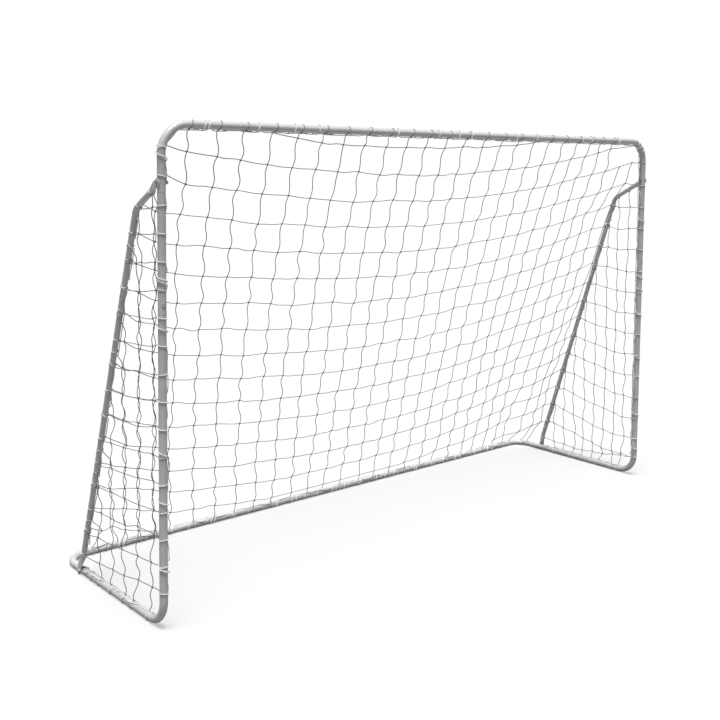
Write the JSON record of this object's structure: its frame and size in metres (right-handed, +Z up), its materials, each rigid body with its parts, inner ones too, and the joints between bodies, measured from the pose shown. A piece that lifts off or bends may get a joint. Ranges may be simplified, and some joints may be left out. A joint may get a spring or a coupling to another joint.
{
  "type": "soccer goal frame",
  "caption": "Free-standing soccer goal: rounded rectangular tube mouth, ground frame, kinked side struts, spring-button joints and a knotted square-mesh net.",
  "frame": {"origin": "on the floor, at the bottom centre of the goal's box", "axes": "+X along the crossbar, -Y out of the mouth, +Y towards the rear bar, +Z up"},
  "size_m": [2.4126, 0.706, 1.5],
  "materials": {
    "frame_paint": "white powder-coated steel tube, semi-gloss, slightly chalky with light handling marks",
    "strut_paint": "light grey powder-coated steel tube, semi-gloss",
    "button_steel": "dull zinc-plated steel button, darkened with a trace of rust at its edge",
    "spring_steel": "oiled spring steel strip",
    "zinc_fasteners": "zinc-plated steel, dull",
    "net_twine": "white knotted polyethylene twine, matt with a slight sheen",
    "border_cord": "white braided border cord, matt"
  },
  "bodies": {
    "frame": {"top_corner_left": "frame_paint", "top_corner_right": "frame_paint", "upper_post_left": "frame_paint", "upper_post_right": "frame_paint", "lower_post_left": "frame_paint", "lower_post_right": "frame_paint", "ground_side_left": "frame_paint", "ground_side_right": "frame_paint", "rear_corner_left": "frame_paint", "rear_corner_right": "frame_paint", "rear_bar_left": "frame_paint", "rear_bar_right": "frame_paint", "strut_upper_left": "strut_paint", "strut_upper_right": "strut_paint", "strut_lower_left": "strut_paint", "strut_lower_right": "strut_paint", "crossbar_middle": "frame_paint", "rear_bar_middle": "frame_paint", "strut_bolts": "zinc_fasteners", "strut_washers": "zinc_fasteners", "strut_nuts": "zinc_fasteners", "net_back": "net_twine", "net_side_left": "net_twine", "net_side_right": "net_twine", "net_border_cord": "border_cord", "spring_crossbar_left": "spring_steel", "spring_crossbar_right": "spring_steel", "spring_post_left": "spring_steel", "spring_post_right": "spring_steel", "spring_ground_left": "spring_steel", "spring_ground_right": "spring_steel", "spring_rear_corner_left": "spring_steel", "spring_rear_corner_right": "spring_steel", "spring_rear_bar_left": "spring_steel", "spring_rear_bar_right": "spring_steel", "spring_strut_left": "spring_steel", "spring_strut_right": "spring_steel"},
    "button_crossbar_left": {"button_crossbar_left": "button_steel"},
    "button_crossbar_right": {"button_crossbar_right": "button_steel"},
    "button_post_left": {"button_post_left": "button_steel"},
    "button_post_right": {"button_post_right": "button_steel"},
    "button_ground_left": {"button_ground_left": "button_steel"},
    "button_ground_right": {"button_ground_right": "button_steel"},
    "button_rear_corner_left": {"button_rear_corner_left": "button_steel"},
    "button_rear_corner_right": {"button_rear_corner_right": "button_steel"},
    "button_rear_bar_left": {"button_rear_bar_left": "button_steel"},
    "button_rear_bar_right": {"button_rear_bar_right": "button_steel"},
    "button_strut_left": {"button_strut_left": "button_steel"},
    "button_strut_right": {"button_strut_right": "button_steel"}
  },
  "joints": [
    {"name": "press_crossbar_left", "type": "slide", "parent": "frame", "child": "button_crossbar_left", "axis": [0, 1, 0], "range_m": [0, 0.004], "stiffness_N_per_m": 1500, "springref_m": -0.001, "deforming": ["spring_crossbar_left"]},
    {"name": "press_crossbar_right", "type": "slide", "parent": "frame", "child": "button_crossbar_right", "axis": [0, 1, 0], "range_m": [0, 0.004], "stiffness_N_per_m": 1500, "springref_m": -0.001, "deforming": ["spring_crossbar_right"]},
    {"name": "press_post_left", "type": "slide", "parent": "frame", "child": "button_post_left", "axis": [0, 1, 0], "range_m": [0, 0.004], "stiffness_N_per_m": 1500, "springref_m": -0.001, "deforming": ["spring_post_left"]},
    {"name": "press_post_right", "type": "slide", "parent": "frame", "child": "button_post_right", "axis": [0, 1, 0], "range_m": [0, 0.004], "stiffness_N_per_m": 1500, "springref_m": -0.001, "deforming": ["spring_post_right"]},
    {"name": "press_ground_left", "type": "slide", "parent": "frame", "child": "button_ground_left", "axis": [1, 0, 0], "range_m": [0, 0.004], "stiffness_N_per_m": 1500, "springref_m": -0.001, "deforming": ["spring_ground_left"]},
    {"name": "press_ground_right", "type": "slide", "parent": "frame", "child": "button_ground_right", "axis": [-1, 0, 0], "range_m": [0, 0.004], "stiffness_N_per_m": 1500, "springref_m": -0.001, "deforming": ["spring_ground_right"]},
    {"name": "press_rear_corner_left", "type": "slide", "parent": "frame", "child": "button_rear_corner_left", "axis": [0, -1, 0], "range_m": [0, 0.004], "stiffness_N_per_m": 1500, "springref_m": -0.001, "deforming": ["spring_rear_corner_left"]},
    {"name": "press_rear_corner_right", "type": "slide", "parent": "frame", "child": "button_rear_corner_right", "axis": [0, -1, 0], "range_m": [0, 0.004], "stiffness_N_per_m": 1500, "springref_m": -0.001, "deforming": ["spring_rear_corner_right"]},
    {"name": "press_rear_bar_left", "type": "slide", "parent": "frame", "child": "button_rear_bar_left", "axis": [0, -1, 0], "range_m": [0, 0.004], "stiffness_N_per_m": 1500, "springref_m": -0.001, "deforming": ["spring_rear_bar_left"]},
    {"name": "press_rear_bar_right", "type": "slide", "parent": "frame", "child": "button_rear_bar_right", "axis": [0, -1, 0], "range_m": [0, 0.004], "stiffness_N_per_m": 1500, "springref_m": -0.001, "deforming": ["spring_rear_bar_right"]},
    {"name": "press_strut_left", "type": "slide", "parent": "frame", "child": "button_strut_left", "axis": [1, 0, 0], "range_m": [0, 0.0035], "stiffness_N_per_m": 1500, "springref_m": -0.001, "deforming": ["spring_strut_left"]},
    {"name": "press_strut_right", "type": "slide", "parent": "frame", "child": "button_strut_right", "axis": [-1, 0, 0], "range_m": [0, 0.0035], "stiffness_N_per_m": 1500, "springref_m": -0.001, "deforming": ["spring_strut_right"]}
  ]
}
